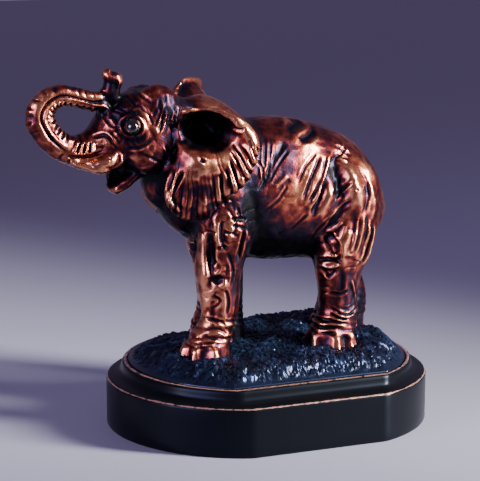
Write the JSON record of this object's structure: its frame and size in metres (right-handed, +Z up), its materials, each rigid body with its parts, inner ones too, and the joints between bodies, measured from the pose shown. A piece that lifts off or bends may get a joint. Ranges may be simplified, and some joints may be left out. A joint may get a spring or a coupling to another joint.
{
  "type": "elephant sculpture",
  "caption": "Resin sculpture of a walking elephant, trunk curled up over its brow and mouth open, coppered and darkened, on rough earth set in a black moulded plinth.",
  "frame": {"origin": "centre of the plinth's underside", "axes": "the elephant faces -X, its left side faces -Y, +Z is up"},
  "size_m": [0.2146, 0.136, 0.1883],
  "materials": {
    "coppered_resin": "cast resin, copper plated, darkened with a black patina and rubbed back on the high places",
    "black_lacquer": "moulded resin, black lacquer with a low gloss, copper showing where the edges are rubbed"
  },
  "bodies": {
    "root": {"elephant": "coppered_resin", "plinth": "black_lacquer"}
  },
  "joints": []
}
